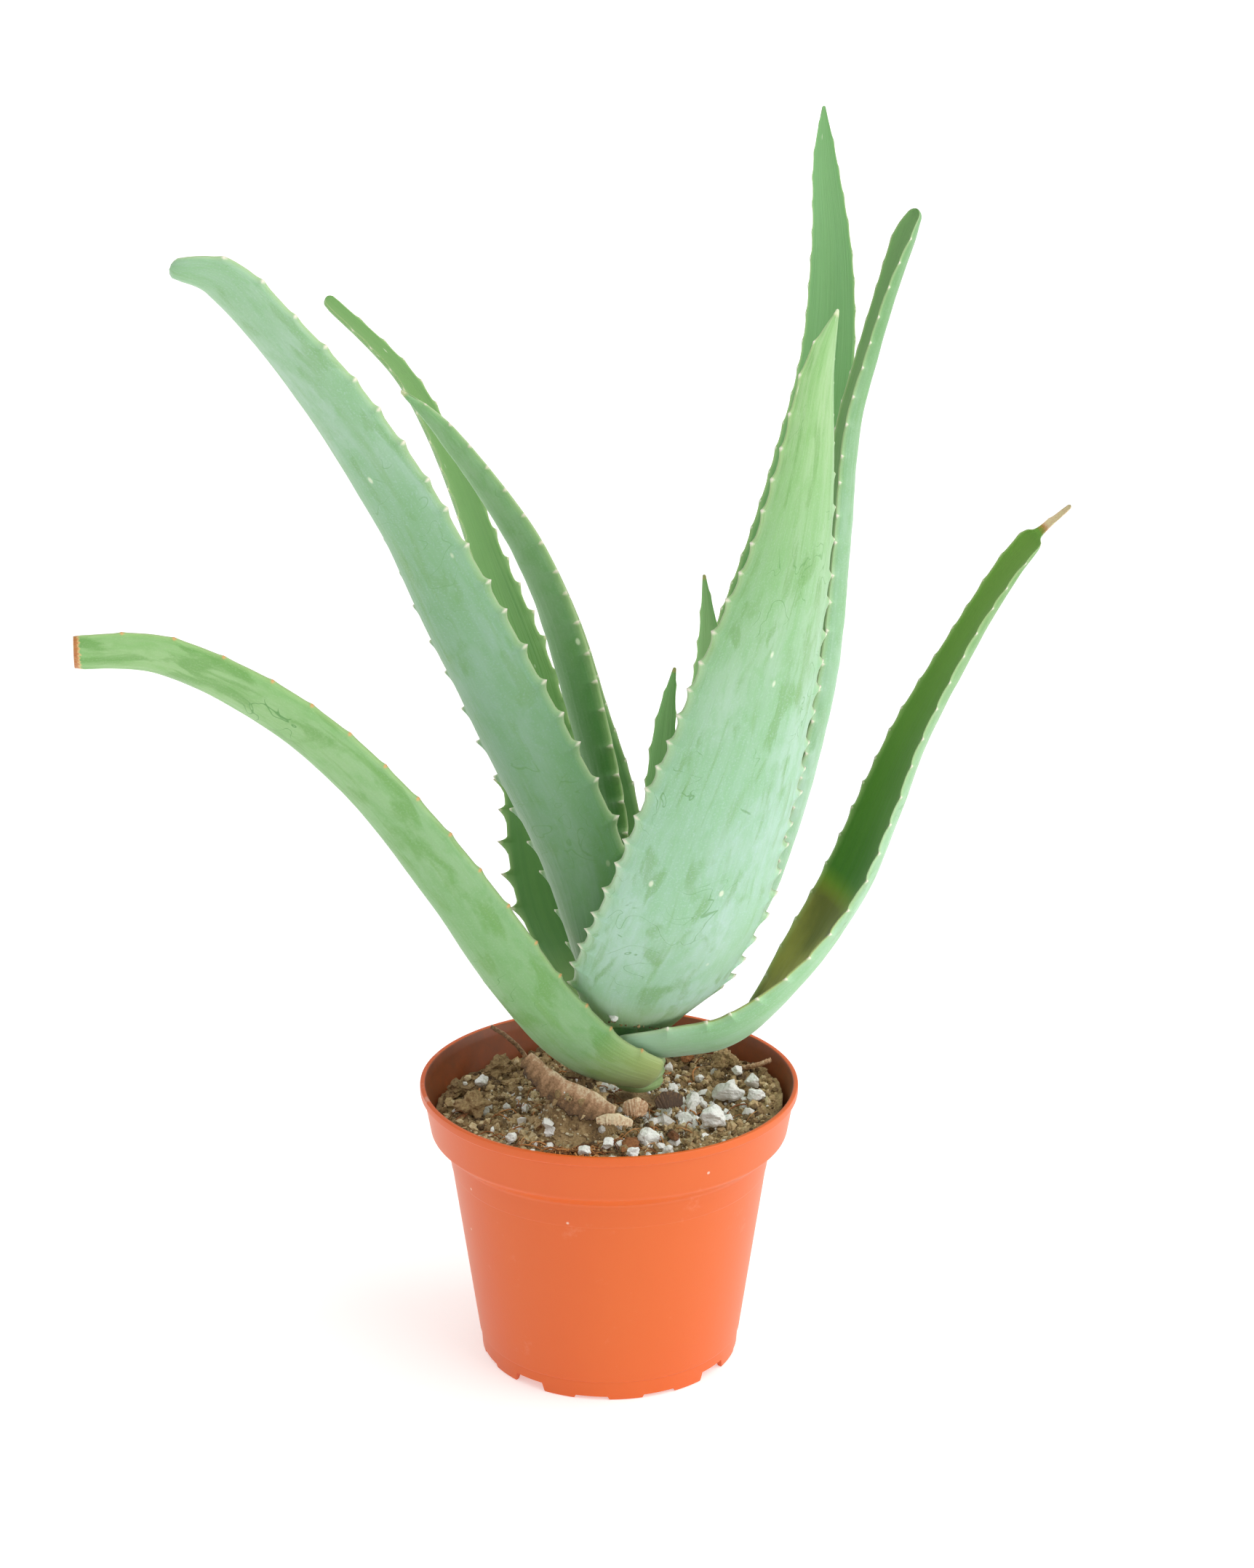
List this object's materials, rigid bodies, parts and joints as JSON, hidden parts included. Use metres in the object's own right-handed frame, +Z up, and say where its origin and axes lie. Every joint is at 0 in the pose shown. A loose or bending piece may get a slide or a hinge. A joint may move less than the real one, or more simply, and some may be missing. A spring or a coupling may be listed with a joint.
{
  "type": "potted aloe plant",
  "caption": "Potted aloe: long fleshy saw-edged leaves in an open rosette on a short stem, in a tapered plastic nursery pot of peat and perlite.",
  "frame": {"origin": "middle of the bounding box in X and Y, on the table under the pot's foot", "axes": "+Z up, the way the plant grows; -Y towards the front, the side the widest leaf leans to; +X to the right seen from the front"},
  "size_m": [0.3144, 0.1774, 0.4221],
  "materials": {
    "leaf_flesh": "waxy satin skin",
    "pot_plastic": "satin moulded polypropylene",
    "peat": "rough crumbly peat",
    "dry_husk": "dry papery fibre",
    "perlite": "rough white mineral foam"
  },
  "bodies": {
    "root": {"bark_01": "dry_husk", "bark_02": "dry_husk", "bark_03": "dry_husk", "bark_04": "dry_husk", "husk_left": "dry_husk", "husk_right": "dry_husk", "leaf_back_left": "leaf_flesh", "leaf_low_left": "leaf_flesh", "leaf_low_right": "leaf_flesh", "leaf_narrow_left": "leaf_flesh", "leaf_slim_back": "leaf_flesh", "leaf_tall_back": "leaf_flesh", "leaf_wide_front": "leaf_flesh", "leaf_wide_left": "leaf_flesh", "leaf_young_large": "leaf_flesh", "leaf_young_small": "leaf_flesh", "leaf_youngest": "leaf_flesh", "peat_clump_01": "peat", "peat_clump_02": "peat", "peat_clump_03": "peat", "peat_clump_04": "peat", "perlite_01": "perlite", "perlite_02": "perlite", "perlite_03": "perlite", "perlite_04": "perlite", "perlite_05": "perlite", "perlite_06": "perlite", "perlite_07": "perlite", "perlite_08": "perlite", "perlite_09": "perlite", "perlite_10": "perlite", "perlite_11": "perlite", "perlite_12": "perlite", "perlite_13": "perlite", "perlite_14": "perlite", "perlite_15": "perlite", "perlite_16": "perlite", "pot": "pot_plastic", "sheath_dry": "dry_husk", "sheath_scale": "dry_husk", "soil": "peat", "stem": "leaf_flesh", "twig_left": "dry_husk", "twig_right": "dry_husk"}
  },
  "joints": []
}
